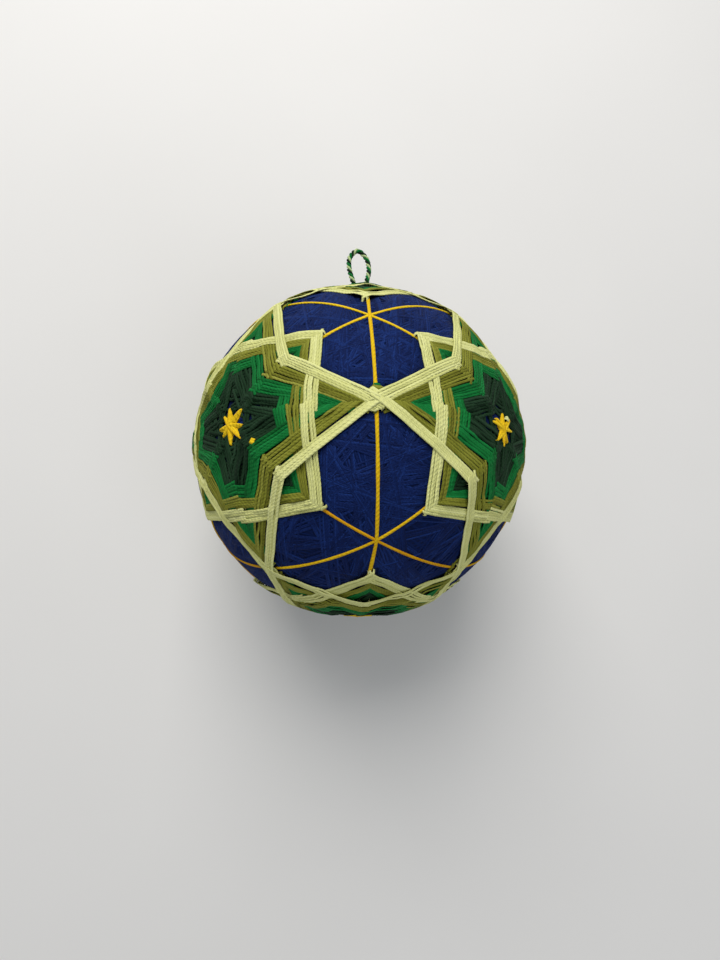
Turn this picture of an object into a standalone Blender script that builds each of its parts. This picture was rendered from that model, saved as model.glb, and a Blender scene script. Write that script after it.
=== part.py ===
"""Temari ball: a wound thread ball with six interlaced stitched stars and a hanging loop.

The ball rests on one crossing of its bands, pressed flat. +Z runs up through the opposite crossing,
and the loop stands out along +Y from the centre of the back star.
"""
from math import degrees, radians

import bmesh
import bpy
from mathutils import Matrix, Vector

MM = 0.001

# Ball and thread layers; each colour of a star lies one layer above the colour before it
BALL_RADIUS = 38.9 * MM
GAP = 0.3 * MM
THREAD_THICKNESS = 0.28 * MM
PALE_THICKNESS = 0.5 * MM
LAYER = 0.46 * MM
KNOT_RISE = 0.3 * MM
REST_DEPTH = 0.5 * MM
CENTRE_HEIGHT = BALL_RADIUS + REST_DEPTH

# Division of the ball, in degrees from a star's centre
FOUR_WAY = 45.0
SIX_WAY = 54.7356

# Dark centre field: outline in degrees from the star's centre, at the long points, at the corners
# between them, at the short points and at their corners
FIELD = (29.1, 10.1, 27.9, 15.8)
# Bands round the field: colour, then inner and outer edge at the same four places
BANDS = (
    ("green", (29.5, 34.8), (10.5, 15.2), (28.4, 30.9), (16.2, 19.8)),
    ("olive", (35.2, 40.6), (15.7, 20.6), (31.2, 33.7), (20.2, 23.5)),
    ("pale", (41.1, 45.0), (21.0, 24.4), (34.1, 38.2), (23.9, 27.8)),
)

# Blunt ends of the pale long points, where two stars meet, in degrees
POINT_HALF_WIDTH = 2.0
POINT_OVER = 1.6
POINT_UNDER = -2.5

# Marking threads
MARK_WIDTH = 0.8 * MM
MARK_THICKNESS = 0.45 * MM
MARK_STAR_END = 39.0
MARK_CROSSING_END = 3.4
MARK_STAR_STEPS = 2
MARK_FAR_STEPS = 3
MARK_STACK = 0.06 * MM

# Golden centre stitch
STITCH_ARM = 3.2 * MM
STITCH_NECK = 1.2 * MM
STITCH_EDGE = 0.35 * MM
STITCH_PILE = 0.65 * MM

# Hanging loop, a twisted cord sewn in at the back star
CORD_DIAMETER = 1.35 * MM
CORD_STEP = 1.1 * CORD_DIAMETER
CORD_BASE = 1.9 * MM
LOOP_ROUTE = (
    (-1.2, -0.3, 5.0), (-1.9, 2.6, 4.3), (-2.6, 6.2, 3.1), (-2.4, 9.9, 1.6), (-0.3, 12.6, 0.4),
    (2.0, 10.4, 0.6), (2.5, 6.4, 2.1), (1.8, 2.6, 3.9), (1.2, -0.3, 5.0),
)

# Star axes: name and multiples of the right, left and back axes
RIGHT_AXIS = Vector((1, 0, 1)).normalized()
LEFT_AXIS = Vector((-1, 0, 1)).normalized()
BACK_AXIS = Vector((0, 1, 0))
STARS = (
    ("lower_left", (-1, 0, 0)),
    ("lower_right", (0, -1, 0)),
    ("front", (0, 0, -1)),
    ("back", (0, 0, 1)),
    ("upper_left", (0, 1, 0)),
    ("upper_right", (1, 0, 0)),
)
# The hand-laid division is uneven: mark, then its shift in degrees along X and along Y
MARK_SHIFTS = {
    (1, 1, 0): (0.0, 1.9),
    (1, 1, 1): (-0.6, -2.6),
    (0, 1, 1): (2.0, 1.2),
    (0, 1, -1): (0.3, -1.4),
    (1, 0, -1): (-0.5, -1.1),
    (1, 0, 1): (0.0, 0.8),
    (0, 1, 0): (1.6, -1.3),
    (1, 0, 0): (-1.0, -0.6),
    (0, 0, 1): (0.0, -7.0),
    (0, 0, -1): (0.0, 4.5),
}

COLOURS = {
    "navy": (0.010, 0.024, 0.105),
    "dark": (0.017, 0.050, 0.026),
    "green": (0.006, 0.215, 0.055),
    "olive": (0.230, 0.220, 0.035),
    "pale": (0.640, 0.640, 0.290),
    "gold": (0.860, 0.500, 0.010),
}
THREAD_ROUGHNESS = 0.75

REST_MARK = (-1, -1, 0)
WELD = 0.001 * MM


def clear_scene():
    for item in list(bpy.data.objects):
        bpy.data.objects.remove(item, do_unlink=True)


def new_collection(name):
    collection = bpy.data.collections.new(name)
    bpy.context.scene.collection.children.link(collection)
    return collection


def thread_material(name):
    material = bpy.data.materials.new(name + "_thread")
    material.use_nodes = True
    shader = material.node_tree.nodes["Principled BSDF"]
    shader.inputs["Base Color"].default_value = (*COLOURS[name], 1.0)
    shader.inputs["Roughness"].default_value = THREAD_ROUGHNESS
    shader.inputs["Metallic"].default_value = 0.0
    return material


def add_object(name, mesh, collection, material):
    item = bpy.data.objects.new(name, mesh)
    item.location.z = CENTRE_HEIGHT
    item.data.materials.append(material)
    collection.objects.link(item)
    return item


def hide_cutter(item):
    item.hide_render = True
    item.display_type = "WIRE"


def mark(key):
    """Direction of a star centre, four-way or six-way point from its multiples of the star axes."""
    direction = (key[0] * RIGHT_AXIS + key[1] * LEFT_AXIS + key[2] * BACK_AXIS).normalized()
    shift_x, shift_y = MARK_SHIFTS.get(key, (0.0, 0.0))
    turn = Matrix.Rotation(radians(shift_x), 3, "Y") @ Matrix.Rotation(radians(-shift_y), 3, "X")
    return turn @ direction


def star_marks(key):
    """The four four-way keys and four six-way keys round a star, in turning order."""
    axis = mark(key)
    sides = [Vector(other) for _, other in STARS if abs(Vector(other).dot(Vector(key))) < 0.5]
    first = sides[0]
    across = next(side for side in sides if abs(side.dot(first)) < 0.5)
    if axis.dot(mark(tuple(first)).cross(mark(tuple(across)))) < 0:
        across = -across
    ring = (first, across, -first, -across)
    centre = Vector(key)
    four = [tuple(int(v) for v in centre + side) for side in ring]
    six = [tuple(int(v) for v in centre + ring[i] + ring[(i + 1) % 4]) for i in range(4)]
    return four, six


def arc_crossing(arc, other):
    """The point near the first arc where two arcs of great circles cross."""
    point = arc[0].cross(arc[1]).cross(other[0].cross(other[1])).normalized()
    return point if point.dot(arc[0]) > 0 else -point


def spread(centre, targets, edges, full=None):
    """Inner and outer edge points from a star's centre towards each target, at shares of the whole way or
    at plain degrees."""
    return [tuple(centre.slerp(target, edge / (full or degrees(centre.angle(target)))) for edge in edges)
            for target in targets]


def outline_points(centre, four, six, row):
    """Edge points of the long set's tips and corners and of the short set's tips and corners."""
    long_tip, long_corner, short_tip, short_corner = row
    return (
        spread(centre, four, long_tip, FOUR_WAY), spread(centre, six, long_corner),
        spread(centre, six, short_tip), spread(centre, four, short_corner),
    )


def crossing_corners(points, i, j):
    """Where the long and short bands between four-way point i and six-way point j cross, by edge pair."""
    long_tip, long_corner, short_tip, short_corner = points
    return [[arc_crossing((long_tip[i][a], long_corner[j][a]), (short_corner[i][b], short_tip[j][b]))
             for b in (0, 1)] for a in (0, 1)]


def fill_in(start, end, count):
    """Stations between two stations, at even shares of the way."""
    steps = [k / (count + 1) for k in range(1, count + 1)]
    return [(start[0] + (end[0] - start[0]) * s, start[1].slerp(end[1], s), start[2].slerp(end[2], s))
            for s in steps]


def v_strip(start, points, end, between):
    """Stations from one crossing round a tip or corner to the next crossing."""
    return [start, *fill_in(start, points[0], between), *points, *fill_in(points[-1], end, between), end]


def band_strips(points, top, between, widen):
    """The open strips of one colour: round each tip, round each corner, and over each crossing."""
    long_tip, long_corner, short_tip, short_corner = points
    strips = []
    for k in range(4):
        here, before, after = (crossing_corners(points, k, k), crossing_corners(points, k, (k + 3) % 4),
                               crossing_corners(points, (k + 1) % 4, k))
        strips.append(v_strip((top, here[0][1], here[1][1]), widen(k, long_tip[k]),
                              (top, before[0][1], before[1][1]), between))
        strips.append(v_strip((top, here[0][0], here[1][0]), [(top, *long_corner[k])],
                              (top, after[0][0], after[1][0]), between))
        strips.append(v_strip((top, here[1][0], here[1][1]), [(0.0, *short_tip[k])],
                              (top, after[1][0], after[1][1]), between))
        strips.append(v_strip((top, here[0][0], here[0][1]), [(top, *short_corner[k])],
                              (top, before[0][0], before[0][1]), 0))
        for corners in (here, after):
            strips.append([(top, *corners[0]), (top, *corners[1])])
    return strips


def star_is_over(key, mark_key):
    """At a crossing the star that comes later in the list lies over its neighbour."""
    order = [star_key for _, star_key in STARS]
    neighbour = tuple(m - k for m, k in zip(mark_key, key))
    return order.index(key) > order.index(neighbour)


def blunt_end(centre, key, mark_key, inner):
    """A pale long point's blunt end, which meets the neighbour star beside their crossing."""
    target = mark(mark_key)
    side = target.cross(centre).normalized()
    reach = POINT_OVER if star_is_over(key, mark_key) else POINT_UNDER
    lift = KNOT_RISE if reach > 0 and mark_key != REST_MARK else 0.0
    end = centre.slerp(target, 1 + reach / degrees(centre.angle(target)))
    wide = radians(POINT_HALF_WIDTH)
    return [(lift, (inner + side * sign * wide / 8).normalized(), (end + side * sign * wide).normalized())
            for sign in (-1, 1)]


def surface_mesh(name, strips, base):
    """Open strips of quads on the ball, welded into one surface that faces outwards."""
    mesh = bpy.data.meshes.new(name)
    form = bmesh.new()
    for stations in strips:
        rails = [[form.verts.new(edge * (base + rise)) for edge in edges] for rise, *edges in stations]
        for (inner, outer), (next_inner, next_outer) in zip(rails, rails[1:]):
            form.faces.new((inner, outer, next_outer, next_inner))
    return finish_surface(form, mesh)


def finish_surface(form, mesh):
    bmesh.ops.remove_doubles(form, verts=form.verts, dist=WELD)
    bmesh.ops.recalc_face_normals(form, faces=form.faces)
    if sum(face.normal.dot(face.calc_center_median()) for face in form.faces) < 0:
        bmesh.ops.reverse_faces(form, faces=form.faces)
    form.to_mesh(mesh)
    form.free()
    return mesh


def thicken(item, thickness):
    solid = item.modifiers.new("thickness", "SOLIDIFY")
    solid.thickness = thickness
    solid.offset = 1.0


def join_with(item, other):
    union = item.modifiers.new("join_" + other.name, "BOOLEAN")
    union.operation = "UNION"
    union.object = other
    hide_cutter(other)


def press_flat(item, cutter):
    trim = item.modifiers.new("press_flat", "BOOLEAN")
    trim.operation = "DIFFERENCE"
    trim.object = cutter


def floor_cutter(collection):
    """A block under the plane that the ball rests on."""
    bpy.ops.mesh.primitive_cube_add(size=4 * BALL_RADIUS, location=(0, 0, -2 * BALL_RADIUS))
    cutter = bpy.context.object
    cutter.name = "floor_block"
    for home in cutter.users_collection:
        home.objects.unlink(cutter)
    collection.objects.link(cutter)
    hide_cutter(cutter)
    return cutter


def build_ball(collection, material):
    mesh = bpy.data.meshes.new("ball")
    form = bmesh.new()
    bmesh.ops.create_icosphere(form, subdivisions=4, radius=BALL_RADIUS)
    form.to_mesh(mesh)
    form.free()
    mesh.shade_smooth()
    add_object("ball", mesh, collection, material)


def build_band(star, key, row, layer, parts, material, floor):
    """One colour of a star: its long-pointed and short-pointed zigzags, joined where they cross."""
    centre = mark(key)
    four, six = star_marks(key)
    points = outline_points(centre, [mark(k) for k in four], [mark(k) for k in six], row[1:])
    pale = row[0] == "pale"

    def widen(k, tip):
        return blunt_end(centre, key, four[k], tip[0]) if pale else [(0.0, *tip)]

    name = f"star_{star}_{row[0]}"
    strips = band_strips(points, layer * LAYER, 1, widen)
    band = add_object(name, surface_mesh(name, strips, BALL_RADIUS + GAP), parts, material)
    thicken(band, PALE_THICKNESS if pale else THREAD_THICKNESS)
    if pale and REST_MARK in four:
        press_flat(band, floor)


def build_field(star, key, parts, material):
    """Dark centre of a star: a plate on the ball whose outline has four long and four short points."""
    centre = mark(key)
    four, six = star_marks(key)
    points = outline_points(centre, [mark(k) for k in four], [mark(k) for k in six], [(0, edge) for edge in FIELD])
    tips = [points[0][k // 2][1] if k % 2 == 0 else points[2][k // 2][1] for k in range(8)]
    notches = [crossing_corners(points, (k + 1) // 2 % 4, k // 2)[1][1] for k in range(8)]
    name = f"star_{star}_dark"
    form = bmesh.new()
    base = BALL_RADIUS + GAP

    def add(point):
        return form.verts.new(point.normalized() * base)

    hub = add(centre)
    for k in range(8):
        left, right, tip, next_tip = notches[k - 1], notches[k], tips[k], tips[(k + 1) % 8]
        root = centre.slerp(tip, centre.angle(left) / centre.angle(tip))
        next_root = centre.slerp(next_tip, centre.angle(right) / centre.angle(next_tip))
        near, next_near = centre.slerp(root, 0.5), centre.slerp(next_root, 0.5)
        half_left, half_root, half_right = (side.slerp(tip, 0.5) for side in (left, root, right))
        form.faces.new((hub, add(near), add(next_near)))
        form.faces.new([add(p) for p in (near, root, right, next_root, next_near)])
        form.faces.new([add(p) for p in (left, half_left, half_root, root)])
        form.faces.new([add(p) for p in (root, half_root, half_right, right)])
        form.faces.new([add(p) for p in (half_left, tip, half_root)])
        form.faces.new([add(p) for p in (half_root, tip, half_right)])
    field = add_object(name, finish_surface(form, bpy.data.meshes.new(name)), parts, material)
    thicken(field, THREAD_THICKNESS)


def build_centre_stitch(star, key, parts, material):
    """Golden eight-armed stitch, piled up at its middle."""
    mesh = bpy.data.meshes.new("centre")
    form = bmesh.new()
    bmesh.ops.create_circle(form, cap_ends=True, segments=16, radius=STITCH_ARM)
    for i, vertex in enumerate(form.verts):
        if i % 2:
            vertex.co *= STITCH_NECK / STITCH_ARM
    lid = bmesh.ops.extrude_face_region(form, geom=list(form.faces))["geom"]
    raised = [item for item in lid if isinstance(item, bmesh.types.BMVert)]
    bmesh.ops.translate(form, verts=raised, vec=(0, 0, STITCH_EDGE))
    top = [item for item in lid if isinstance(item, bmesh.types.BMFace)]
    pile = bmesh.ops.poke(form, faces=top)["verts"]
    bmesh.ops.translate(form, verts=pile, vec=(0, 0, STITCH_PILE))
    bmesh.ops.recalc_face_normals(form, faces=form.faces)
    form.to_mesh(mesh)
    form.free()
    stitch = add_object(f"centre_{star}", mesh, parts, material)
    axis = mark(key)
    stitch.rotation_mode = "QUATERNION"
    stitch.rotation_quaternion = axis.to_track_quat("Z", "Y")
    stitch.location += axis * (BALL_RADIUS + THREAD_THICKNESS + 2 * GAP)


def marking_line(star, crossing, middle_point):
    """Points of a marking thread from beside a star, over a six-way point, to beside a crossing."""
    star_end = star.slerp(middle_point, MARK_STAR_END / degrees(star.angle(middle_point)))
    far_end = crossing.slerp(middle_point, MARK_CROSSING_END / (90 - SIX_WAY))
    line = [star_end.slerp(middle_point, k / MARK_STAR_STEPS) for k in range(MARK_STAR_STEPS)]
    return line + [middle_point.slerp(far_end, k / MARK_FAR_STEPS) for k in range(MARK_FAR_STEPS + 1)]


def build_marking(key, parts, cutters, material, floor):
    """Three golden threads that cross at a six-way point and run under the bands all round it."""
    name = "marking_" + "".join("n" if v < 0 else "p" for v in key)
    threads = []
    for i in range(3):
        star_key = tuple(v if k == i else 0 for k, v in enumerate(key))
        crossing_key = tuple(0 if k == i else v for k, v in enumerate(key))
        line = marking_line(mark(star_key), mark(crossing_key), mark(key))
        stations = []
        for before, here, after in zip(line[:1] + line, line, line[1:] + line[-1:]):
            side = here.cross(after - before).normalized() * (MARK_WIDTH / 2 / BALL_RADIUS)
            stations.append((0.0, (here + side).normalized(), (here - side).normalized()))
        mesh = surface_mesh(f"{name}_{i}", [stations], BALL_RADIUS + GAP + i * MARK_STACK)
        threads.append(add_object(f"{name}_{i}" if i else name, mesh, cutters if i else parts, material))
        thicken(threads[-1], MARK_THICKNESS)
    for other in threads[1:]:
        join_with(threads[0], other)
    if key[0] < 0 and key[1] < 0:
        press_flat(threads[0], floor)


def smooth_route(points, step):
    """Evenly spaced points on a smooth curve through the route's points."""
    ends = [points[0] * 2 - points[1]] + points + [points[-1] * 2 - points[-2]]
    fine = []
    for before, here, after, beyond in zip(ends, ends[1:], ends[2:], ends[3:]):
        for k in range(24):
            t = k / 24
            bend = (2 * before - 5 * here + 4 * after - beyond) * t * t
            bend += (3 * here - before - 3 * after + beyond) * t * t * t
            fine.append((2 * here + (after - before) * t + bend) / 2)
    fine.append(points[-1])
    length = sum((q - p).length for p, q in zip(fine, fine[1:]))
    count = round(length / step)
    even, travelled = [fine[0]], 0.0
    for p, q in zip(fine, fine[1:]):
        travelled += (q - p).length
        if travelled >= len(even) * length / count - 1e-9 and len(even) < count:
            even.append(q)
    return even + [fine[-1]]


def build_loop(parts, material):
    """The hanging loop as one round cord, both ends at the centre of the back star."""
    start = BALL_RADIUS + CORD_BASE
    route = [Vector((x * MM, start + y * MM, z * MM)) for x, y, z in LOOP_ROUTE]
    curve = bpy.data.curves.new("hanging_loop", "CURVE")
    curve.dimensions = "3D"
    curve.bevel_depth = CORD_DIAMETER / 2
    curve.bevel_resolution = 2
    curve.use_fill_caps = True
    points = smooth_route(route, CORD_STEP)
    spline = curve.splines.new("POLY")
    spline.points.add(len(points) - 1)
    for slot, place in zip(spline.points, points):
        slot.co = (*place, 1.0)
    add_object("hanging_loop", curve, parts, material)


def main():
    clear_scene()
    parts = new_collection("temari_ball")
    cutters = new_collection("cutters")
    materials = {name: thread_material(name) for name in COLOURS}
    floor = floor_cutter(cutters)
    build_ball(parts, materials["navy"])
    for star, key in STARS:
        build_field(star, key, parts, materials["dark"])
        for layer, row in enumerate(BANDS, 1):
            build_band(star, key, row, layer, parts, materials[row[0]], floor)
        build_centre_stitch(star, key, parts, materials["gold"])
    for key in [(i, j, k) for i in (-1, 1) for j in (-1, 1) for k in (-1, 1)]:
        build_marking(key, parts, cutters, materials["gold"], floor)
    build_loop(parts, materials["green"])


main()
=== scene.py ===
"""A hand-wound temari ball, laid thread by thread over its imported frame, in metres."""

from collections import namedtuple
from itertools import product
from math import cos, degrees, pi, radians, sin

import bpy
import numpy as np
from mathutils import Matrix, Vector


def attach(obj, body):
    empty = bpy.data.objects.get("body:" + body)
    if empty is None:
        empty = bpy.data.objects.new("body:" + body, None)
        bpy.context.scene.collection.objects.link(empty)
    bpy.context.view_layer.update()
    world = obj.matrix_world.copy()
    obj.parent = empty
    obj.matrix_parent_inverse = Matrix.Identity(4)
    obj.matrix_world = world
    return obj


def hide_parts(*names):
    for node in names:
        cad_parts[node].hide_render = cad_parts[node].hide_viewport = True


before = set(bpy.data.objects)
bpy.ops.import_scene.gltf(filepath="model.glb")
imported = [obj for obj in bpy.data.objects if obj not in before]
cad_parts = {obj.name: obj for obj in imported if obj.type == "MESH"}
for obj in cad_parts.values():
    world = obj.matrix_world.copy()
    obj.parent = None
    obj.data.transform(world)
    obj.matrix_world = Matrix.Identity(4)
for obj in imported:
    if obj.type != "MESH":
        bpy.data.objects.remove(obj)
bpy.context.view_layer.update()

MM = 0.001

# The view: lens and sensor in mm, nearest distance, shift, place, and the picture's right and top
CAMERA_LENS = 21.42
CAMERA_SENSOR = 36.0
CAMERA_NEAREST = 0.005
CAMERA_SHIFT = 0.0042
CAMERA_PLACE = Vector((-0.0108, -0.0268, 0.1790))
CAMERA_RIGHT = Vector((0.9968, 0.0, 0.0800))
CAMERA_UP = Vector((-0.0107, 0.9910, 0.1333))

# The ball and its division, as in the part: a mark's key is its multiples of the three star axes. A star is
# worked round each eight-way point, its long points meet at four-way points, and its short ones aim at
# six-way points. Each star lies over those before it.
BALL_RADIUS = 38.9 * MM
CENTRE_HEIGHT = 39.4 * MM
CENTRE = np.array((0.0, 0.0, CENTRE_HEIGHT))
RIGHT_AXIS = Vector((1, 0, 1)).normalized()
LEFT_AXIS = Vector((-1, 0, 1)).normalized()
BACK_AXIS = Vector((0, 1, 0))
STAR_FRAME = np.array((RIGHT_AXIS, LEFT_AXIS, BACK_AXIS), float)
STARS = (
    ("lower_left", (-1, 0, 0)),
    ("lower_right", (0, -1, 0)),
    ("front", (0, 0, -1)),
    ("back", (0, 0, 1)),
    ("upper_left", (0, 1, 0)),
    ("upper_right", (1, 0, 0)),
)
# The hand-laid division is uneven: mark, then its shift in degrees along X and along Y
MARK_SHIFTS = {
    (1, 1, 0): (0.3, 3.2),
    (1, 1, 1): (-0.6, -2.6),
    (0, 1, 1): (2.0, 1.2),
    (0, 1, -1): (0.3, -1.4),
    (1, 0, -1): (-0.5, -1.1),
    (1, 0, 1): (0.0, 0.8),
    (0, 1, 0): (1.6, -1.3),
    (1, 0, 0): (-1.0, -0.6),
    (0, 0, 1): (0.0, -7.0),
    (0, 0, -1): (0.0, 4.5),
}
# Where the golden markings cross, if that isn't at their six-way mark itself, shifted in the same way
GUIDE_SHIFTS = {(1, 1, -1): (1.8, -0.5)}
# Stitches placed unevenly, shifted in the same way: star, set, and the mark that the corner or point aims at
STITCH_SHIFTS = {
    ("upper_left", "long", (1, 1, 1)): (1.2, 1.6),
    ("upper_left", "long", (1, 1, -1)): (0.4, 1.0),
    ("upper_right", "long", (1, 1, 1)): (-2.4, 1.9),
    ("upper_right", "long", (1, 1, -1)): (2.3, 0.0),
    ("upper_left", "short", (1, 1, 1)): (-1.1, 0.6),
    ("upper_left", "short", (1, 1, -1)): (-0.7, 1.3),
    ("upper_right", "short", (1, 1, 1)): (-0.3, 0.9),
    ("upper_right", "short", (1, 1, -1)): (1.0, -0.3),
    ("back", "short", (1, 1, 1)): (-1.2, -3.3),
    ("back", "long", (1, 1, 1)): (0.0, -1.2),
    ("front", "short", (1, 1, -1)): (1.2, 0.6),
}
# Which leg of a short point's corner lies further in, for each star, and by how many degrees
CORNER_LEAN = {"upper_left": 1, "upper_right": -1, "lower_left": 1, "lower_right": -1, "front": 1, "back": -1}
CORNER_LEAN_ANGLE = 0.45
# How far hand-placed stitches scatter: points and corners in degrees, crossings in mm
STITCH_SCATTER = 0.08
CROSSING_SCATTER = 0.06

# Threads in mm: half width, half height and sideways waver, then the share of its height that a thread keeps
# once others are wound over it
Thread = namedtuple("Thread", "half_width half_height waver kept")
THREADS = {
    "dark": Thread(0.36, 0.17, 0.10, 0.46),
    "green": Thread(0.35, 0.16, 0.04, 0.30),
    "olive": Thread(0.31, 0.16, 0.04, 0.28),
    "pale": Thread(0.32, 0.17, 0.04, 0.27),
    "gold": Thread(0.40, 0.21, 0.06, 0.42),
    "navy": Thread(0.23, 0.11, 0.00, 0.42),
}

# Sets of rounds in the order they are wound, each from its first round to its last: degrees from the star's
# centre at the points and at the corners, and for long points that meet a neighbour's, how far to the thread's
# own side, in mm, it crosses the line between the two stars
ThreadSet = namedtuple("ThreadSet", "colour kind rounds points corners crossing")
THREAD_SETS = (
    ThreadSet("dark", "short", 11, (9.0, 27.3), (4.6, 15.3), None),
    ThreadSet("dark", "long", 9, (10.5, 28.4), (3.4, 9.6), None),
    ThreadSet("green", "short", 4, (28.7, 30.6), (16.6, 19.4), None),
    ThreadSet("green", "long", 5, (30.0, 34.3), (10.9, 14.7), (-3.6, -3.0)),
    ThreadSet("olive", "short", 4, (31.5, 33.4), (20.6, 23.1), None),
    ThreadSet("olive", "long", 5, (35.7, 40.1), (16.2, 20.1), (-2.9, -1.55)),
    ThreadSet("pale", "short", 5, (34.5, 37.8), (24.3, 27.4), None),
    ThreadSet("pale", "long", 5, (41.5, 44.5), (21.4, 24.1), (-0.85, 0.85)),
)
# The pale legs that meet at the front crossing go their own ways: star, point and corner, then the crossing
PALE_CROSSINGS = {
    ("upper_left", (1, 1, 0), (1, 1, 1)): (-1.2, 0.85),
    ("upper_left", (1, 1, 0), (1, 1, -1)): (-0.6, 0.6),
    ("upper_right", (1, 1, 0), (1, 1, 1)): (-1.4, 1.2),
    ("upper_right", (1, 1, 0), (1, 1, -1)): (-1.8, -0.1),
}

# How far threads run on, in mm: past a free point, past a corner of either set, and past a four-way point,
# where the olive and green ones end before it, under the pale ones
PAST_POINT = (0.55, 0.95)
PAST_CORNER = {"long": (0.7, 1.7), "short": (0.9, 1.4)}
PALE_PAST_CROSSING = (1.0, 1.7)
OLIVE_PAST_CROSSING = (-2.6, -1.2)
GREEN_PAST_CROSSING = -4.2
# The first dark rounds lie loose, with gaps where the ball shows through
LOOSE_ROUNDS = 5
GAP_CHANCE = 0.42

# The pale turns that bind a four-way point: each one's place to one side and half length in mm, and how much
# shorter it is further out, then how far it leans, bows and fans out as shares of its place, and their scatter
KNOT_PLACES = (0.3, -0.3, 0.7, -0.7, 1.1, -1.1, 1.4, -1.4, 1.7, -1.7, 2.0, -2.0, 2.2)
KNOT_HALF_LENGTH = 3.2
KNOT_NARROWING = 0.35
KNOT_LEAN = 0.68
KNOT_BOW = 0.32
KNOT_FAN = 0.5
KNOT_SCATTER = 0.08
# The stitches beside them, in mm: colour, place to one side and half length. All are there at the front
# crossing, and elsewhere each by chance.
KNOT_SIDE_STITCHES = (
    ("green", 4.2, 1.1),
    ("olive", 3.7, 1.5),
    ("olive", 3.3, 1.9),
    ("olive", 2.9, 2.3),
    ("olive", -3.1, 0.8),
)
FRONT_CROSSING = (1, 1, 0)
SIDE_STITCH_CHANCE = 0.4

# The navy winding in groups of neighbouring turns: their pitch in mm and how far they stray, then, in steps
# along the thread, the shortest run made between the bands and how far a run goes on under them
NAVY_PIECES = 3
NAVY_GROUPS = 150
NAVY_TURNS = (5, 11)
NAVY_PITCH = 0.40
NAVY_SCATTER = 0.006
NAVY_SHORTEST_RUN = 22
NAVY_UNDER_BAND = 8
# How much wider than a thread its cover is, and the radius of the plain ball under all threads
COVER_MARGIN = 1.3
CORE_RADIUS = BALL_RADIUS + 0.05 * MM

# The golden markings: how far from a star's centre they start and before a crossing they end, in degrees, how
# widely their bend is rounded, in steps, how thick they are from the stars of each axis, as a share of the
# gold thread, and how much deeper in tone those on the front are painted, as painted shade on the side that
# faces away from the key light
MARKING_START = 35.6
MARKING_END = 1.2
MARKING_BEND = 22
MARKING_SIZES = (0.78, 0.78, 0.98)
FRONT_MARKINGS_PAINTED_SHADE = 0.4

# The stitch over a star's centre: arms, their length in mm, turns over each pair of arms, and in mm how far
# apart and how unevenly they lie
STITCH_ARMS = 8
STITCH_REACH = (3.0, 4.2)
STITCH_TURNS = 5
STITCH_SPACING = 0.24
STITCH_STRAY = 0.05

# Two stray ends of two strands each: star, colour, place in degrees from the star's centre, and which way it
# points, then half the strands' length and half the gap between them, in mm
STRAY_ENDS = (
    ("upper_right", "pale", (2.4, 5.0), 0.5),
    ("upper_left", "gold", (9.2, -7.4), 1.1),
)
STRAY_HALF_LENGTH = 0.7
STRAY_HALF_GAP = 0.25

# Hanging loop, a three-ply twisted cord: its route in mm from its base behind the ball's middle, then how far
# before the base and how high its ends are sewn in
CORD_BASE = 1.9 * MM
LOOP_ROUTE = (
    (-1.2, -0.3, 5.0), (-1.9, 2.6, 4.3), (-2.6, 6.2, 3.1), (-2.4, 9.9, 1.6), (-0.3, 12.6, 0.4),
    (2.0, 10.4, 0.6), (2.5, 6.4, 2.1), (1.8, 2.6, 3.9), (1.2, -0.3, 5.0),
)
SEWN_IN = 2.6
SEWN_HEIGHT = 4.7
PLY_RADIUS = 0.33 * MM
PLY_OFFSET = 0.335 * MM
PLY_PITCH = 3.6 * MM
PLY_TONES = (0.15, 0.5, 0.9)
LOOP_STEP = 0.3 * MM

# Height map of what is wound so far: cells along each face of a cube on the star axes, the step along a
# thread, its steepest climb and how far that is smoothed, in steps, how high its middle lies as a share of its
# half height, and the navy winding's height under the bands
CELLS = 480
STEP = 0.11 * MM
SLOPE = 0.30
SMOOTHING = 4
MIDDLE_HEIGHT = 0.7
GROUND = 0.24 * MM
# How deep the two ends of a thread dive, and from where and how softly a high pile is pressed together
DIVE_DEPTH = 0.25 * MM
PRESSED_FROM = 0.60 * MM
PRESSED_DEPTH = 0.60 * MM
# The height below which threads are pressed flat on what the ball stands on
REST_SOFTNESS = 0.35 * MM

# Thread colours: their middle, deep and light tones, then the deep and light ones of the ball and the floor
THREAD_COLOURS = {
    "dark": ((0.008, 0.031, 0.011), (0.002, 0.009, 0.004), (0.024, 0.058, 0.030)),
    "green": ((0.003, 0.146, 0.027), (0.001, 0.060, 0.010), (0.010, 0.215, 0.050)),
    "olive": ((0.200, 0.208, 0.022), (0.075, 0.072, 0.006), (0.330, 0.335, 0.060)),
    "pale": ((0.650, 0.660, 0.255), (0.430, 0.440, 0.130), (0.790, 0.800, 0.390)),
    "gold": ((0.740, 0.485, 0.007), (0.560, 0.240, 0.002), (0.920, 0.660, 0.025)),
    "navy": ((0.0022, 0.0120, 0.078), (0.001, 0.005, 0.036), (0.010, 0.038, 0.190)),
    "mint": ((0.350, 0.460, 0.190), (0.210, 0.300, 0.100), (0.500, 0.610, 0.320)),
}
CORE_COLOURS = ((0.001, 0.005, 0.034), (0.002, 0.012, 0.075))
FLOOR_COLOURS = ((0.70, 0.69, 0.67), (0.74, 0.73, 0.71))
FLOOR_SIZE = 1.6

# Lights in metres and watts: name, place, size, power and colour, then the surround
LIGHTS = (
    ("key", (-0.10, 0.42, 0.50), 0.45, 4.0, (1.0, 0.98, 0.95)),
    ("fill", (0.35, -0.45, 0.55), 0.60, 1.2, (0.95, 0.97, 1.0)),
)
SURROUND_COLOUR = (0.80, 0.84, 0.90)
SURROUND_STRENGTH = 0.36

pile = np.zeros(6 * CELLS * CELLS)
rng = np.random.default_rng(27)


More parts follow.
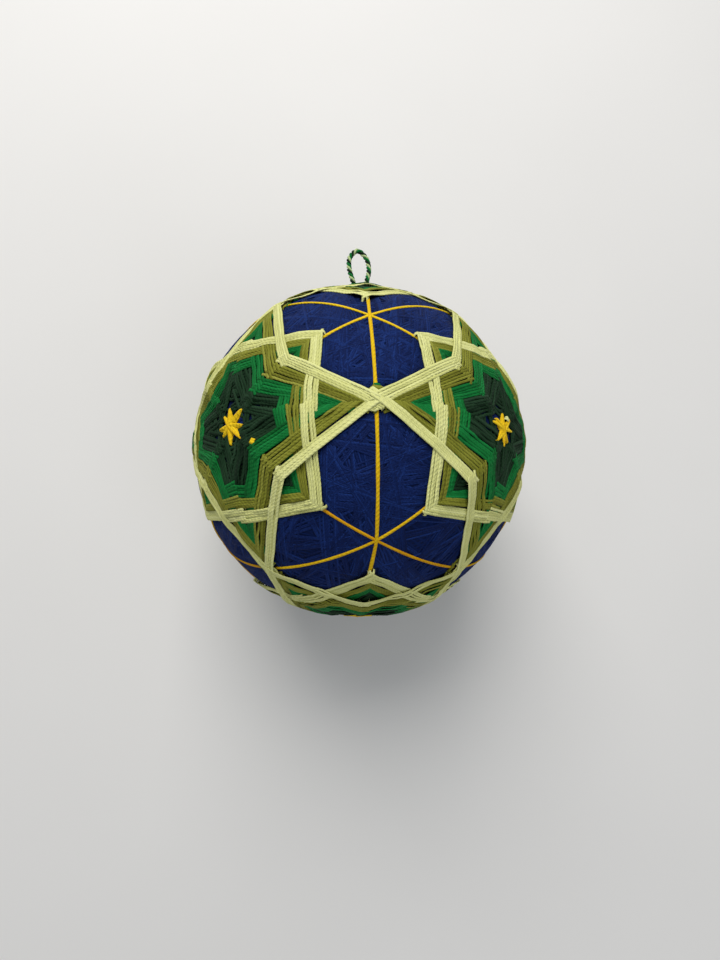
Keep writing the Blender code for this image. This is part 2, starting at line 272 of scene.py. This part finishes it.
def add_camera():
    """The photograph's view, from above and a little to the front and left."""
    data = bpy.data.cameras.new("camera")
    data.lens = CAMERA_LENS
    data.sensor_width = CAMERA_SENSOR
    data.shift_y = CAMERA_SHIFT
    data.clip_start = CAMERA_NEAREST
    camera = bpy.data.objects.new("camera", data)
    back = CAMERA_RIGHT.cross(CAMERA_UP).normalized()
    up = back.cross(CAMERA_RIGHT).normalized()
    turn = Matrix((CAMERA_RIGHT.normalized(), up, back)).transposed().to_4x4()
    camera.matrix_world = Matrix.Translation(CAMERA_PLACE) @ turn
    bpy.context.scene.collection.objects.link(camera)
    bpy.context.scene.camera = camera


class Value:
    """A shader value: an expression on it adds its Math nodes."""

    def __init__(self, finish, socket):
        self.finish = finish
        self.socket = socket

    def math(self, operation, *others):
        return self.finish.add("ShaderNodeMath", {"operation": operation}, (self, *others))

    def reflected(self, operation, other):
        return self.finish.add("ShaderNodeMath", {"operation": operation}, (other, self))

    def __add__(self, other):
        return self.math("ADD", other)

    def __radd__(self, other):
        return self.math("ADD", other)

    def __sub__(self, other):
        return self.math("SUBTRACT", other)

    def __rsub__(self, other):
        return self.reflected("SUBTRACT", other)

    def __mul__(self, other):
        return self.math("MULTIPLY", other)

    def __rmul__(self, other):
        return self.math("MULTIPLY", other)

    def __truediv__(self, other):
        return self.math("DIVIDE", other)

    def __rtruediv__(self, other):
        return self.reflected("DIVIDE", other)


class Finish:
    """A material and the nodes that make it."""

    def __init__(self, name):
        self.material = bpy.data.materials.new(name)
        self.material.use_nodes = True
        self.tree = self.material.node_tree
        self.shader = self.tree.nodes["Principled BSDF"]

    def link(self, value, socket):
        if isinstance(value, Value):
            self.tree.links.new(value.socket, socket)
        else:
            socket.default_value = value

    def add(self, kind, settings=None, inputs=(), output=0):
        """Adds a node, sets it, fills its inputs by place or by name, and gives one output."""
        node = self.tree.nodes.new(kind)
        for setting, value in (settings or {}).items():
            if setting == "stops":
                while len(node.color_ramp.elements) < len(value):
                    node.color_ramp.elements.new(0.5)
                for element, (place, colour) in zip(node.color_ramp.elements, value):
                    element.position, element.color = place, colour
            else:
                setattr(node, setting, value)
        pairs = inputs.items() if isinstance(inputs, dict) else enumerate(inputs)
        for place, value in pairs:
            self.link(value, node.inputs[place])
        return Value(self, node.outputs[output])

    def mix(self, factor, first, second):
        """Mixes two colours."""
        return self.add("ShaderNodeMix", {"data_type": "RGBA"}, {0: factor, 6: first, 7: second}, 2)

    def noise(self, vector, scale, detail=2.0):
        return self.add("ShaderNodeTexNoise", None, {"Vector": vector, "Scale": scale, "Detail": detail})

    def bump(self, height, distance, strength=1.0):
        inputs = {"Height": height, "Distance": distance, "Strength": strength}
        normal = self.add("ShaderNodeBump", None, inputs)
        self.link(normal, self.shader.inputs["Normal"])

    def colour(self, value):
        self.link(value, self.shader.inputs["Base Color"])

    def constants(self, **values):
        """Sets the shader's own sockets: names with underscores for spaces."""
        for name, value in values.items():
            self.shader.inputs[name.replace("_", " ").title().replace("Ior", "IOR")].default_value = value


def solid(colour):
    return (*colour, 1.0)


def thread_finish(name, tones, pitch=0.9, ridge=0.05 * MM, sheen=0.0):
    """Twisted cotton: plies that wind round the thread, with faint painted shade and highlight along them,
    fibres along it, and a tone of its own per thread.
    """
    middle, deep, light = tones
    finish = Finish(name)
    places = finish.add("ShaderNodeUVMap", {"uv_map": "thread"})
    along = finish.add("ShaderNodeSeparateXYZ", None, (places,), 0)
    around = finish.add("ShaderNodeSeparateXYZ", None, (places,), 1)
    tone = finish.add("ShaderNodeAttribute", {"attribute_name": "tone"}, (), 2)
    twist = ((along / pitch + around * 2.0) * (2 * pi)).math("SINE")
    stretched = finish.add("ShaderNodeCombineXYZ", None, (along * 0.6, around * 5.0, tone * 40.0))
    fibre = finish.noise(stretched, 2.2, 3.0)
    patch = finish.noise(finish.add("ShaderNodeTexCoord", None, (), 3), 260.0, 2.0)
    # The twist's small share in the colour paints faint shade in the grooves between the plies and a faint
    # highlight on their crests.
    weight = tone * 0.50 + fibre * 0.34 + patch * 0.30 + twist * 0.05 - 0.08
    stops = ((0.10, solid(deep)), (0.50, solid(middle)), (0.95, solid(light)))
    finish.colour(finish.add("ShaderNodeValToRGB", {"stops": stops}, (weight,)))
    finish.bump(twist * 0.5 + fibre * 1.2, ridge)
    finish.constants(roughness=0.8, specular_ior_level=0.12, sheen_weight=sheen, sheen_roughness=0.5)
    return finish.material


def winding_finish(name, tones):
    """The ball under the threads: fine thread wound in many directions."""
    deep, light = tones
    finish = Finish(name)
    place = finish.add("ShaderNodeTexCoord", None, (), 3)
    lines = None
    for turn in ((0.3, 0.9, 0.2), (1.4, 0.2, 0.8), (2.2, 1.1, 1.9)):
        turned = finish.add("ShaderNodeMapping", None, {0: place, 2: turn})
        wave = finish.add(
            "ShaderNodeTexWave", {"bands_direction": "X", "wave_profile": "SIN"},
            {"Vector": turned, "Scale": 420.0, "Distortion": 2.0, "Detail": 2.0}, 1,
        )
        zone = finish.noise(turned, 120.0, 1.0)
        here = (zone * 6.0 - 2.5).math("MINIMUM", 1.0).math("MAXIMUM", 0.0) * wave
        lines = here if lines is None else lines.math("MAXIMUM", here)
    finish.colour(finish.mix(lines, solid(deep), solid(light)))
    finish.bump(lines, 0.12 * MM)
    finish.constants(roughness=0.85, specular_ior_level=0.1)
    return finish.material


def unit(vectors):
    return vectors / np.linalg.norm(vectors, axis=-1, keepdims=True)


def shifted(direction, shift):
    """A direction moved along X and along Y over the top of the ball, in degrees."""
    along_x, along_y = radians(shift[0]), radians(-shift[1])
    return Matrix.Rotation(along_x, 3, "Y") @ Matrix.Rotation(along_y, 3, "X") @ direction


def mark(key):
    """Direction of a star centre, four-way or six-way point from its multiples of the star axes."""
    direction = (key[0] * RIGHT_AXIS + key[1] * LEFT_AXIS + key[2] * BACK_AXIS).normalized()
    return shifted(direction, MARK_SHIFTS.get(key, (0.0, 0.0)))


def star_marks(key):
    """The four four-way keys and four six-way keys round a star, in turning order."""
    axis = mark(key)
    sides = [Vector(other) for _, other in STARS if abs(Vector(other).dot(Vector(key))) < 0.5]
    first = sides[0]
    across = next(side for side in sides if abs(side.dot(first)) < 0.5)
    if axis.dot(mark(tuple(first)).cross(mark(tuple(across)))) < 0:
        across = -across
    ring = (first, across, -first, -across)
    centre = Vector(key)
    four = [tuple(int(v) for v in centre + side) for side in ring]
    six = [tuple(int(v) for v in centre + ring[i] + ring[(i + 1) % 4]) for i in range(4)]
    return four, six


def cells(directions):
    """The height map's cell under each direction."""
    local = directions @ STAR_FRAME.T
    main = np.abs(local).argmax(1)
    rows = np.arange(len(local))
    value = local[rows, main]
    face = main * 2 + (value < 0)
    column = np.arctan(local[rows, (main + 1) % 3] / np.abs(value)) / (pi / 2) + 0.5
    line = np.arctan(local[rows, (main + 2) % 3] / np.abs(value)) / (pi / 2) + 0.5
    column = (column * CELLS).astype(int).clip(0, CELLS - 1)
    line = (line * CELLS).astype(int).clip(0, CELLS - 1)
    return (face * CELLS + line) * CELLS + column


def great_arc(start, end, before, after, waver=0.0, bow=0.0):
    """Closely spaced directions from start to end, carried on past both by a length, with a waver or bow."""
    start, end = np.array(start, float), np.array(end, float)
    whole = np.arccos(np.clip(start @ end, -1.0, 1.0))
    ahead = unit(end - start * (start @ end))
    low, high = -before / BALL_RADIUS, whole + after / BALL_RADIUS
    count = max(6, int((high - low) * BALL_RADIUS / STEP))
    angles = np.linspace(low, high, count)
    share = (angles - low) / (high - low)
    side = np.cross(start, ahead)
    waves = (np.sin(pi * share), np.sin(2 * pi * share), np.sin(5 * pi * share) * 0.5)
    sway = sum(wave * rng.normal() for wave in waves)
    sway = (sway * waver + np.sin(pi * share) * bow) / BALL_RADIUS
    route = np.cos(angles)[:, None] * start + np.sin(angles)[:, None] * ahead + sway[:, None] * side
    return unit(route)


def footprint(route, half_width):
    """Side directions and the cells under a thread, at seven places across it."""
    side = unit(np.cross(np.gradient(route, axis=0), route))
    across = np.linspace(-0.9, 0.9, 7)
    spots = route[:, None, :] + side[:, None, :] * (across * half_width / BALL_RADIUS)[None, :, None]
    return side, across, cells(spots.reshape(-1, 3)).reshape(len(route), -1)


def travelled(points):
    """The length along a line up to each of its points."""
    return np.concatenate(([0.0], np.cumsum(np.linalg.norm(np.diff(points, axis=0), axis=1))))


def smooth(values, reach):
    kernel = np.hanning(2 * reach + 3)[1:-1]
    padded = np.pad(values, reach, mode="edge")
    return np.convolve(padded, kernel / kernel.sum(), "valid")


def lay(route, half_width, half_height, kept, ends=(0.35, 0.35), press=1.0):
    """Lays a thread over what is wound so far, diving in at its ends: its sides and its middle's heights."""
    side, across, spots = footprint(route, half_width)
    under = pile[spots[:, 2:-2]].max(1)
    climb = np.arange(len(route)) * STEP * SLOPE
    forward = np.maximum.accumulate(under + climb) - climb
    backward = np.maximum.accumulate((under - climb)[::-1])[::-1] + climb
    base = smooth(np.maximum(forward, backward), SMOOTHING) * press
    middle = base + half_height * MIDDLE_HEIGHT
    gone = np.arange(len(route)) * STEP
    shown = np.ones(len(route), bool)
    for end, distance in zip(ends, (gone, gone[-1] - gone)):
        if end:
            share = np.clip(distance / (end * MM), 0.0, 1.0)
            drop = np.sqrt(np.clip(1 - (1 - share) ** 2, 0.0, 1.0))
            middle = (middle + DIVE_DEPTH) * drop - DIVE_DEPTH
            shown &= distance > end * MM * 0.5
    top = base[:, None] + 2 * half_height * kept * np.sqrt(1 - across ** 2)[None, :]
    np.maximum.at(pile, spots[shown].ravel(), top[shown].ravel())
    return side, middle


def pressed(points):
    """Presses a high pile together: what lies higher sinks more, but stays over what is under it."""
    away = points - CENTRE
    distance = np.linalg.norm(away, axis=1)
    high = np.maximum(distance - BALL_RADIUS - PRESSED_FROM, 0.0)
    sunk = high - PRESSED_DEPTH * np.log1p(high / PRESSED_DEPTH)
    return points - away * (sunk / distance)[:, None]


def turning_points(values, tolerance, longest):
    """The few stations that keep a profile's shape to a tolerance."""
    keep = {0, len(values) - 1}
    spans = [(0, len(values) - 1)]
    while spans:
        low, high = spans.pop()
        if high - low < 3:
            continue
        line = np.linspace(values[low], values[high], high - low + 1)
        away = np.abs(values[low:high + 1] - line)
        worst = int(away.argmax())
        if away[worst] > tolerance:
            worst = min(max(worst, 1), high - low - 1)
        elif high - low > longest:
            worst = (high - low) // 2
        else:
            continue
        keep.add(low + worst)
        spans += [(low, low + worst), (low + worst, high)]
    return sorted(keep)


class Skein:
    """Threads of one piece, gathered and then made into one mesh of closed tubes."""

    SIDES = 6

    def __init__(self, name):
        self.name = name
        self.points, self.faces, self.places, self.tones = [], [], [], []
        self.count = 0

    def add(self, centres, normals, sides, half_widths, half_heights, tone, start=0.0):
        """Adds a closed tube through centres, flattened along the normals."""
        n, s = len(centres), self.SIDES
        angles = (np.arange(s) + 0.5) * 2 * pi / s
        across = sides[:, None, :] * np.cos(angles)[None, :, None] * half_widths[:, None, None]
        upward = normals[:, None, :] * np.sin(angles)[None, :, None] * half_heights[:, None, None]
        self.points.append((centres[:, None, :] + (across + upward)).reshape(-1, 3))
        length = travelled(centres) / MM + start
        for i in range(n - 1):
            for j in range(s):
                k = (j + 1) % s
                here, there = self.count + i * s, self.count + (i + 1) * s
                self.faces.append((here + j, there + j, there + k, here + k))
                self.places += [(length[i], j / s), (length[i + 1], j / s),
                                (length[i + 1], (j + 1) / s), (length[i], (j + 1) / s)]
        first, last = self.count, self.count + (n - 1) * s
        self.faces.append(tuple(first + j for j in range(s)))
        self.places += [(length[0], j / s) for j in range(s)]
        self.faces.append(tuple(last + j for j in reversed(range(s))))
        self.places += [(length[-1], j / s) for j in reversed(range(s))]
        self.tones += [tone] * (n * s)
        self.count += n * s

    def wind(self, route, colour, tone, tolerance=0.03, longest=30, taper=None, **laid):
        """Lays one thread of the ball and adds it with few stations."""
        thread = THREADS[colour]
        half_width, half_height = thread.half_width * MM, thread.half_height * MM
        side, middle = lay(route, half_width, half_height, thread.kept, **laid)
        keep = turning_points(middle, tolerance * MM, longest)
        widths, heights = np.full(len(keep), half_width), np.full(len(keep), half_height)
        if taper:
            size = taper(np.array(keep) / (len(route) - 1))
            widths = widths * size
            heights = heights * (0.4 + 0.6 * size)
        centres = route[keep] * (BALL_RADIUS + middle[keep])[:, None] + CENTRE
        self.add(centres, route[keep], side[keep], widths, heights, tone, rng.uniform(0, 9))
        self.points[-1] = pressed(self.points[-1])

    def make(self, material, slot, *nodes):
        """Makes the piece, which stands for its CAD nodes."""
        points = np.concatenate(self.points)
        low = points[:, 2] < REST_SOFTNESS
        points[low, 2] = REST_SOFTNESS * np.exp((points[low, 2] - REST_SOFTNESS) / REST_SOFTNESS)
        mesh = bpy.data.meshes.new(self.name)
        mesh.from_pydata(points.tolist(), [], self.faces)
        layer = mesh.uv_layers.new(name="thread")
        layer.data.foreach_set("uv", np.array(self.places, np.float32).ravel())
        tone = mesh.attributes.new("tone", "FLOAT", "POINT")
        tone.data.foreach_set("value", np.array(self.tones, np.float32))
        mesh.shade_smooth()
        mesh.materials.append(material)
        piece = bpy.data.objects.new(self.name, mesh)
        bpy.context.scene.collection.objects.link(piece)
        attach(piece, "root")
        if nodes:
            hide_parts(*nodes)
        return piece


def toward(centre, target, angle):
    """A point on the arc from a star's centre towards a mark, at an angle in degrees."""
    return np.array(centre.slerp(target, angle / degrees(centre.angle(target))), float)


def between(pair, share):
    return pair[0] + (pair[1] - pair[0]) * share


def aim_beside(centre, target, own_side_point, aside):
    """A point on the line through a four-way mark across the star's axis, aside on the thread's own side."""
    middle = np.array(target, float)
    side = unit(np.cross(np.array(centre, float), middle))
    if side @ own_side_point < 0:
        side = -side
    return unit(middle + side * (aside * MM / BALL_RADIUS))


def moved(direction, shift):
    return direction if shift is None else np.array(shifted(Vector(direction), shift), float)


def star_threads(star, key, thread_set, number):
    """Routes of one round's eight threads, in the order they are stitched, None for one left out."""
    colour, kind = thread_set.colour, thread_set.kind
    centre = mark(key)
    four, six = star_marks(key)
    share = number / (thread_set.rounds - 1)
    point_angle, corner_angle = between(thread_set.points, share), between(thread_set.corners, share)
    lean = CORNER_LEAN_ANGLE * CORNER_LEAN[star] if kind == "short" else 0.0
    routes = []
    for k in range(4):
        if kind == "long":
            tip_key, corner_keys = four[k], (six[k - 1], six[k])
        else:
            tip_key, corner_keys = six[k], (four[k], four[(k + 1) % 4])
        for way, corner_key in zip((1, -1), corner_keys):
            angle = corner_angle + rng.normal(0, STITCH_SCATTER) + lean * way
            corner = toward(centre, mark(corner_key), angle)
            corner = moved(corner, STITCH_SHIFTS.get((star, kind, corner_key)))
            if thread_set.crossing is None:
                angle = point_angle + rng.normal(0, STITCH_SCATTER)
                tip = toward(centre, mark(tip_key), angle)
                tip = moved(tip, STITCH_SHIFTS.get((star, kind, tip_key)))
                past = rng.uniform(*PAST_POINT)
            else:
                crossing = thread_set.crossing
                if colour == "pale":
                    crossing = PALE_CROSSINGS.get((star, tip_key, corner_key), crossing)
                aside = between(crossing, share) + rng.normal(0, CROSSING_SCATTER)
                tip = aim_beside(centre, mark(tip_key), corner, aside)
                past = {
                    "pale": rng.uniform(*PALE_PAST_CROSSING),
                    "olive": rng.uniform(*OLIVE_PAST_CROSSING),
                    "green": GREEN_PAST_CROSSING,
                }[colour]
            back_past = rng.uniform(*PAST_CORNER[kind])
            gap = colour == "dark" and number < LOOSE_ROUNDS and rng.random() < GAP_CHANCE
            waver = THREADS[colour].waver * MM
            routes.append(None if gap else great_arc(corner, tip, back_past * MM, past * MM, waver))
    return routes


def plan_star_threads():
    """Every band thread's route, in stitching order: colour by colour, round by round, star by star."""
    plan = []
    for thread_set in THREAD_SETS:
        for number in range(thread_set.rounds):
            if (thread_set.colour, thread_set.kind, number) == ("pale", "long", 0):
                plan += knot_threads()
            per_star = [star_threads(star, key, thread_set, number) for star, key in STARS]
            for leg in range(8):
                for (star, _), routes in zip(STARS, per_star):
                    if routes[leg] is not None:
                        plan.append((star, thread_set.colour, routes[leg]))
    return plan


def knot_threads():
    """The turns that bind each four-way point under the last long rounds."""
    plan = []
    for star, key in STARS:
        centre = mark(key)
        for four in star_marks(key)[0]:
            if not star_is_over(key, four):
                continue
            target = mark(four)
            middle = np.array(target, float)
            ahead = unit(np.array(target - centre * (centre @ target), float))
            side = np.cross(middle, ahead)
            for colour, aside, reach in KNOT_SIDE_STITCHES:
                if four == FRONT_CROSSING or rng.random() < SIDE_STITCH_CHANCE:
                    spot = middle - side * (aside * MM / BALL_RADIUS)
                    start, end = (unit(spot + ahead * (way * reach * MM / BALL_RADIUS)) for way in (-1, 1))
                    plan.append((star, colour, great_arc(start, end, 0, 0, 0.04 * MM)))
            for place in KNOT_PLACES:
                reach = (KNOT_HALF_LENGTH - abs(place) * KNOT_NARROWING) * MM / BALL_RADIUS
                lean = side * (place * KNOT_LEAN + rng.normal(0, KNOT_SCATTER)) * MM / BALL_RADIUS
                start, end = (
                    unit(middle + ahead * (way * reach) + lean * (1 + way * KNOT_FAN)) for way in (-1, 1)
                )
                plan.append((star, "pale", great_arc(start, end, 0, 0, 0.05 * MM, place * KNOT_BOW * MM)))
    return plan


def star_is_over(key, mark_key):
    """At a crossing the star that comes later in the list lies over its neighbour."""
    order = [star_key for _, star_key in STARS]
    neighbour = tuple(m - k for m, k in zip(mark_key, key))
    return order.index(key) > order.index(neighbour)


def band_cover(plan):
    """The cells that bands cover."""
    covered = np.zeros(6 * CELLS * CELLS, bool)
    for _, colour, route in plan:
        _, _, spots = footprint(route[::2], THREADS[colour].half_width * MM * COVER_MARGIN)
        covered[spots.ravel()] = True
    return covered


def some_tone(spread):
    return float(np.clip(rng.normal(0.5, spread), 0, 1))


def wind_ball(covered, material):
    """Fine navy thread round and round the ball, shown between the bands, in groups that lie side by side."""
    skeins = [Skein(f"navy_winding_{n}") for n in range(NAVY_PIECES)]
    angles = np.arange(0, 2 * pi, STEP / BALL_RADIUS)
    for group in range(NAVY_GROUPS):
        pole = unit(rng.normal(size=3))
        lean = unit(np.cross(pole, rng.normal(size=3)))
        for line in range(rng.integers(*NAVY_TURNS)):
            aside = lean * (line * NAVY_PITCH * MM / BALL_RADIUS)
            axis = unit(pole + aside + rng.normal(size=3) * NAVY_SCATTER)
            start = unit(np.cross(axis, (0.3, 0.5, 0.8)))
            ahead = np.cross(axis, start)
            circle = np.cos(angles)[:, None] * start + np.sin(angles)[:, None] * ahead
            hidden = covered[cells(circle)]
            edges = np.flatnonzero(np.diff(hidden.astype(int)))
            for before, last in zip(edges, edges[1:]):
                if hidden[before + 1] or last - before - 1 < NAVY_SHORTEST_RUN:
                    continue
                low = max(before + 1 - NAVY_UNDER_BAND, 0)
                high = min(last + 1 + NAVY_UNDER_BAND, len(circle))
                skeins[group % NAVY_PIECES].wind(
                    circle[low:high], "navy", some_tone(0.3),
                    tolerance=0.10, longest=44, ends=(0, 0), press=0.55,
                )
    for skein in skeins:
        skein.make(material, "navy_thread")


def build_ball(material):
    """The ball that all threads are wound on."""
    bpy.ops.object.select_all(action="DESELECT")
    bpy.ops.mesh.primitive_ico_sphere_add(subdivisions=6, radius=CORE_RADIUS, location=(0, 0, CENTRE_HEIGHT))
    ball = bpy.context.object
    ball.name = "wound_core"
    bpy.ops.object.transform_apply(location=True)
    bpy.ops.object.shade_smooth()
    ball.data.materials.append(material)
    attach(ball, "root")
    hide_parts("ball")


def uneven(size):
    """How thick a marking is along its length."""
    return lambda share: size * (1 + 0.08 * np.sin(share * 23 + size * 50))


def wind_markings(material):
    """Golden guide threads over the six-way points, as long as they show."""
    for key in product((1, -1), repeat=3):
        name = "".join("n" if v < 0 else "p" for v in key)
        skein = Skein(f"guide_{name}")
        middle = shifted(mark(key), GUIDE_SHIFTS.get(key, (0.0, 0.0)))
        for i in range(3):
            star = mark(tuple(v if k == i else 0 for k, v in enumerate(key)))
            crossing = mark(tuple(0 if k == i else v for k, v in enumerate(key)))
            near = Vector(toward(star, mark(key), MARKING_START))
            far = Vector(toward(crossing, middle, MARKING_END))
            first = great_arc(near, middle, 0.0, 0.0)
            route = np.concatenate((first, great_arc(middle, far, 0.0, 0.0)[1:]))
            bend = np.stack([smooth(route[:, axis], MARKING_BEND) for axis in range(3)], axis=1)
            # Markings on the front are painted deeper and more orange: painted shade, away from the key light.
            tone = rng.uniform(0.3, 0.8) - (FRONT_MARKINGS_PAINTED_SHADE if key[2] < 0 else 0.0)
            skein.wind(
                unit(bend), "gold", tone,
                longest=26, ends=(0.3, 0.3), press=0.8, taper=uneven(MARKING_SIZES[i]),
            )
        skein.make(material, "gold_thread", f"marking_{name}")


def wind_bands(plan, materials):
    """All band threads in stitching order, one piece for each star and colour."""
    skeins = {}
    for star, colour, route in plan:
        skein = skeins.setdefault((star, colour), Skein(f"threads_{star}_{colour}"))
        skein.wind(route, colour, some_tone(0.22))
    for (star, colour), skein in skeins.items():
        skein.make(materials[colour], f"{colour}_thread", f"star_{star}_{colour}")


def thin_ends(share):
    """How thick a centre stitch's thread is along its length."""
    return 0.35 + 0.45 * np.sin(pi * share) ** 0.7


def stitch_centres(material):
    """An eight-armed golden stitch over each star's centre, its threads piled up in the middle."""
    for star, key in STARS:
        centre = np.array(mark(key), float)
        toward_mark = np.array(mark(star_marks(key)[0][0]), float)
        first = unit(toward_mark - centre * (centre @ toward_mark))
        second = np.cross(centre, first)
        skein = Skein(f"stitch_{star}")
        arms = []
        for n in range(STITCH_ARMS):
            angle = 2 * pi * n / STITCH_ARMS + rng.normal(0, 0.10)
            reach = rng.uniform(*STITCH_REACH) * MM / BALL_RADIUS
            arms.append(unit(centre + (first * cos(angle) + second * sin(angle)) * reach))
        for turn in range(STITCH_TURNS):
            for opposite in zip(arms, arms[STITCH_ARMS // 2:]):
                start, end = (
                    unit(arm + rng.normal(size=3) * STITCH_STRAY * MM / BALL_RADIUS) for arm in opposite
                )
                bow = (turn - STITCH_TURNS // 2) * STITCH_SPACING + rng.normal(0, 0.06)
                skein.wind(
                    great_arc(start, end, 0, 0, 0.0, bow * MM), "gold", rng.uniform(0.3, 0.9),
                    longest=12, ends=(0.3, 0.3), press=0.85, taper=thin_ends,
                )
        skein.make(material, "gold_thread", f"centre_{star}")


def add_ends(finishes):
    """Two small ends of thread that stand out of the upper stars."""
    for star, colour, place, turn in STRAY_ENDS:
        key = dict(STARS)[star]
        spot = np.array(shifted(mark(key), place), float)
        along = unit(np.cross(spot, (cos(turn), sin(turn), 0.3)))
        across = np.cross(spot, along)
        skein = Skein(f"thread_end_{star}")
        for lean in (-STRAY_HALF_GAP, STRAY_HALF_GAP):
            start, end = (
                unit(spot + (along * way * STRAY_HALF_LENGTH + across * lean) * MM / BALL_RADIUS)
                for way in (-1, 1)
            )
            skein.wind(great_arc(start, end, 0, 0, 0.05 * MM), colour, 0.8)
        skein.make(finishes[colour], f"{colour}_thread")


def smooth_route(points, step):
    """Evenly spaced points on a smooth curve through the route's points."""
    points = np.array(points, float)
    ends = np.concatenate((points[:1] * 2 - points[1:2], points, points[-1:] * 2 - points[-2:-1]))
    fine = []
    for before, here, after, beyond in zip(ends, ends[1:], ends[2:], ends[3:]):
        for t in np.arange(24) / 24:
            bend = (2 * before - 5 * here + 4 * after - beyond) * t * t
            bend = bend + (3 * here - before - 3 * after + beyond) * t * t * t
            fine.append((2 * here + (after - before) * t + bend) / 2)
    fine = np.array(fine + [points[-1]])
    length = travelled(fine)
    places = np.linspace(0, length[-1], round(length[-1] / step) + 1)
    return np.stack([np.interp(places, length, fine[:, axis]) for axis in range(3)], axis=1), length[-1]


def twist_loop(materials):
    """The hanging loop of three twisted plies, both ends sewn in beside the back star's stitch."""
    first, last = LOOP_ROUTE[0], LOOP_ROUTE[-1]
    sewn = [(x, y - SEWN_IN, SEWN_HEIGHT) for x, y, _ in (first, last)]
    whole = (sewn[0], *LOOP_ROUTE, sewn[1])
    route = [(x * MM, BALL_RADIUS + CORD_BASE + y * MM, CENTRE_HEIGHT + z * MM) for x, y, z in whole]
    path, length = smooth_route(route, LOOP_STEP)
    ahead = unit(np.gradient(path, axis=0))
    up = np.tile((0.0, 0.0, 1.0), (len(path), 1))
    side = unit(np.cross(ahead, up))
    over = np.cross(side, ahead)
    gone = np.linspace(0, length, len(path))
    skein = Skein("hanging_cord")
    faces_each = []
    for ply, tone in enumerate(PLY_TONES):
        turn = 2 * pi * (gone / PLY_PITCH + ply / 3)
        offset = side * np.cos(turn)[:, None] + over * np.sin(turn)[:, None]
        line = path + offset * PLY_OFFSET
        radius = np.full(len(path), PLY_RADIUS)
        across = unit(np.cross(unit(np.gradient(line, axis=0)), offset))
        skein.add(line, offset, across, radius, radius, tone)
        faces_each.append(len(skein.faces))
    cord = skein.make(materials[0], "loop_cord", "hanging_loop")
    for material in materials[1:]:
        cord.data.materials.append(material)
    for index, face in enumerate(cord.data.polygons):
        face.material_index = sum(index >= count for count in faces_each)


def lay_floor():
    bpy.ops.object.select_all(action="DESELECT")
    bpy.ops.mesh.primitive_plane_add(size=FLOOR_SIZE, location=(0, 0, 0))
    floor = bpy.context.object
    floor.name = "floor"
    finish = Finish("pale_floor")
    place = finish.add("ShaderNodeTexCoord", None, (), 3)
    deep, light = FLOOR_COLOURS
    finish.colour(finish.mix(finish.noise(place, 14.0, 3.0), solid(deep), solid(light)))
    finish.constants(roughness=0.8)
    floor.data.materials.append(finish.material)


def add_light(name, place, size, power, colour):
    data = bpy.data.lights.new(name, "AREA")
    data.size = size
    data.energy = power
    data.color = colour
    light = bpy.data.objects.new(name, data)
    light.location = place
    light.rotation_euler = (Vector(place) - Vector((0, 0, CENTRE_HEIGHT))).to_track_quat("Z", "Y").to_euler()
    bpy.context.scene.collection.objects.link(light)


def light_studio():
    """A large soft light from the back above, a weaker one from the front, and a pale surround."""
    for light in LIGHTS:
        add_light(*light)
    world = bpy.data.worlds.new("surround")
    bpy.context.scene.world = world
    world.use_nodes = True
    background = world.node_tree.nodes["Background"]
    background.inputs["Color"].default_value = solid(SURROUND_COLOUR)
    background.inputs["Strength"].default_value = SURROUND_STRENGTH


def make_finishes():
    tones = THREAD_COLOURS
    return {
        "dark": thread_finish("dark_green_thread", tones["dark"]),
        "green": thread_finish("green_thread", tones["green"]),
        "olive": thread_finish("olive_thread", tones["olive"]),
        "pale": thread_finish("pale_thread", tones["pale"], sheen=0.02),
        "gold": thread_finish("gold_thread", tones["gold"]),
        "navy": thread_finish("navy_thread", tones["navy"], pitch=0.7, ridge=0.04 * MM),
        "core": winding_finish("navy_core", CORE_COLOURS),
        "mint": thread_finish("mint_thread", tones["mint"]),
    }


add_camera()
finishes = make_finishes()
twist_loop((finishes["dark"], finishes["green"], finishes["mint"]))
plan = plan_star_threads()
build_ball(finishes["core"])
wind_ball(band_cover(plan), finishes["navy"])
np.maximum(pile, GROUND, out=pile)
wind_markings(finishes["gold"])
wind_bands(plan, finishes)
stitch_centres(finishes["gold"])
add_ends(finishes)
lay_floor()
light_studio()
bpy.context.scene.view_settings.view_transform = "Standard"
